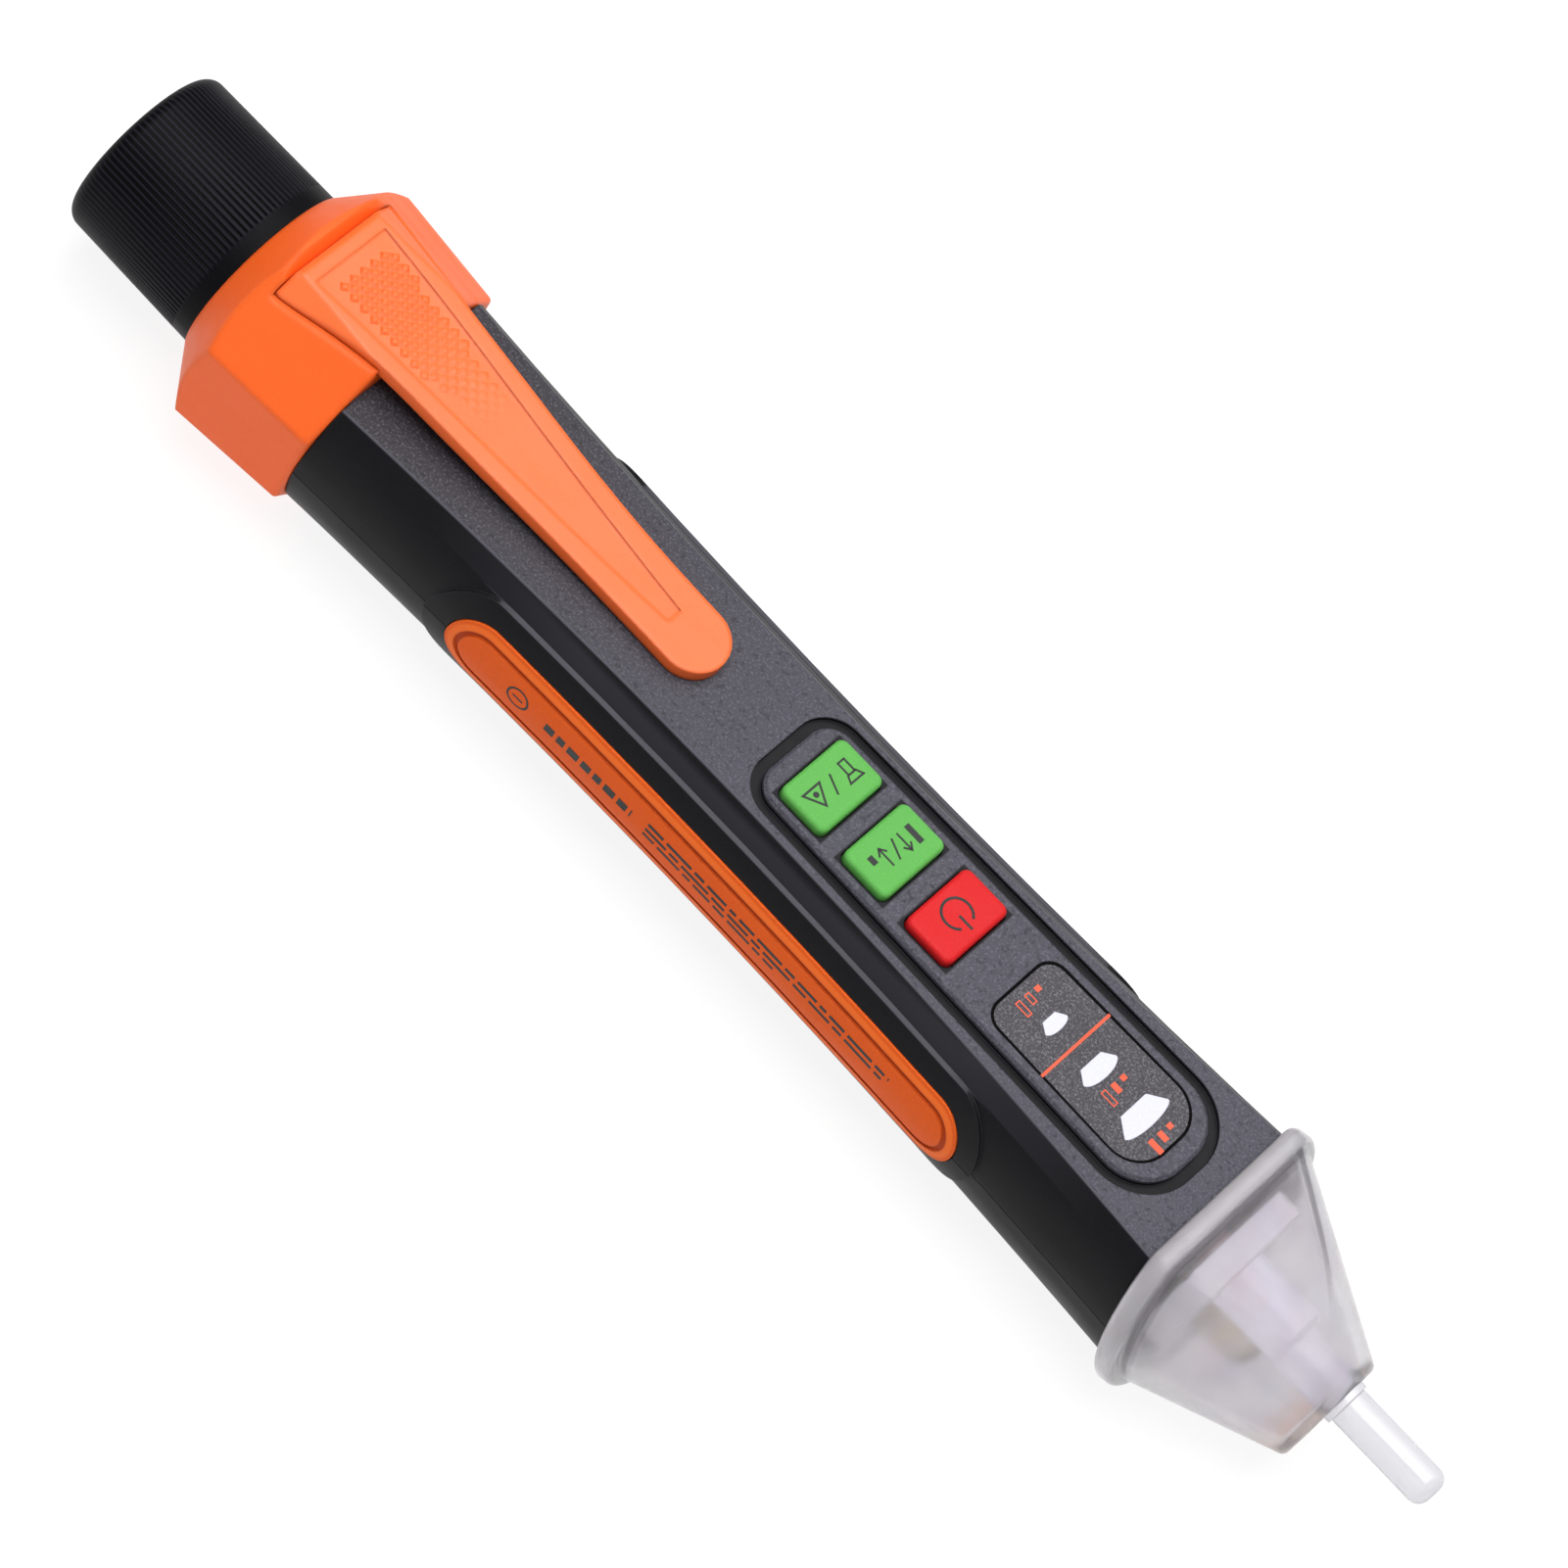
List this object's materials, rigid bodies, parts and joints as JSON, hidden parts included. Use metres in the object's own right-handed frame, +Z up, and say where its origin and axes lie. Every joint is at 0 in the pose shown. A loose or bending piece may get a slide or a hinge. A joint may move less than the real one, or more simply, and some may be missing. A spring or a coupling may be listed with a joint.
{
  "type": "non-contact voltage tester",
  "caption": "Pen-shaped voltage tester with clear sensing nose, push keys, indicator window, pocket clip and screw-off battery cap.",
  "frame": {"origin": "on the surface the tool lies on, under the middle of its length", "axes": "+X along the tool towards the sensing nose, +Z up out of the face with the keys, +Y to the tool's left"},
  "size_m": [0.165, 0.0278, 0.0253],
  "materials": {
    "case_plastic": "fine moulded grain",
    "inlay_rubber": "satin",
    "collar_plastic": "satin",
    "cap_plastic": "fine lengthwise ribs",
    "key_green": "satin",
    "key_red": "satin",
    "window_plastic": "fine texture",
    "clear_plastic": "clear, lightly frosted",
    "light_guide": "milky",
    "tube_plastic": "moulded",
    "board": "green solder mask",
    "chip": "moulded",
    "component": "ceramic",
    "led_clear": "clear",
    "led_red": "diffused",
    "switch": "plain",
    "steel": "plain",
    "spring_steel": "nickel plated",
    "brass": "plain",
    "seal_rubber": "matte",
    "cell_case": "printed sleeve",
    "buzzer": "moulded"
  },
  "bodies": {
    "case": {"upper_shell": "case_plastic", "lower_shell": "case_plastic", "case_screws": "steel", "inlay_left": "inlay_rubber", "inlay_right": "inlay_rubber", "battery_tube": "tube_plastic", "cell_rear": "cell_case", "cell_front": "cell_case", "front_contact": "spring_steel", "battery_strip": "spring_steel", "cap_seal": "seal_rubber", "clip_collar": "collar_plastic", "indicator_window": "window_plastic", "light_guide": "light_guide", "circuit_board": "board", "key_switches": "switch", "indicator_leds": "led_clear", "controller_chip": "chip", "buzzer": "buzzer", "small_components": "component", "head_shroud": "clear_plastic", "probe_pipe": "clear_plastic", "head_carrier": "tube_plastic", "antenna": "brass", "alarm_led": "led_red", "torch_led": "led_clear"},
    "cap_carrier": {"cap_contact": "spring_steel", "cap_spring": "spring_steel"},
    "cap": {"battery_cap": "cap_plastic"},
    "clip": {"pocket_clip": "collar_plastic"},
    "torch_key": {"torch_key": "key_green"},
    "range_key": {"range_key": "key_green"},
    "power_key": {"power_key": "key_red"}
  },
  "joints": [
    {"name": "cap_travel", "type": "slide", "parent": "case", "child": "cap_carrier", "axis": [-1, 0, 0], "range_m": [0, 0.006]},
    {"name": "cap_turn", "type": "hinge", "parent": "cap_carrier", "child": "cap", "pos_m": [-0.0745, 0, 0.0122], "axis": [-1, 0, 0], "range_deg": [0, 720]},
    {"name": "clip_flex", "type": "hinge", "parent": "case", "child": "clip", "pos_m": [-0.0601, 0, 0.02345], "axis": [0, -1, 0], "range_deg": [0, 4], "stiffness_Nm_per_rad": 0.25},
    {"name": "torch_press", "type": "slide", "parent": "case", "child": "torch_key", "axis": [0, 0, -1], "range_m": [0, 0.0003], "stiffness_N_per_m": 200},
    {"name": "range_press", "type": "slide", "parent": "case", "child": "range_key", "axis": [0, 0, -1], "range_m": [0, 0.0003], "stiffness_N_per_m": 200},
    {"name": "power_press", "type": "slide", "parent": "case", "child": "power_key", "axis": [0, 0, -1], "range_m": [0, 0.0003], "stiffness_N_per_m": 200}
  ],
  "couplings": [
    {"joint": "cap_turn", "follows": "cap_travel", "rad_per_m": 2094.4}
  ]
}
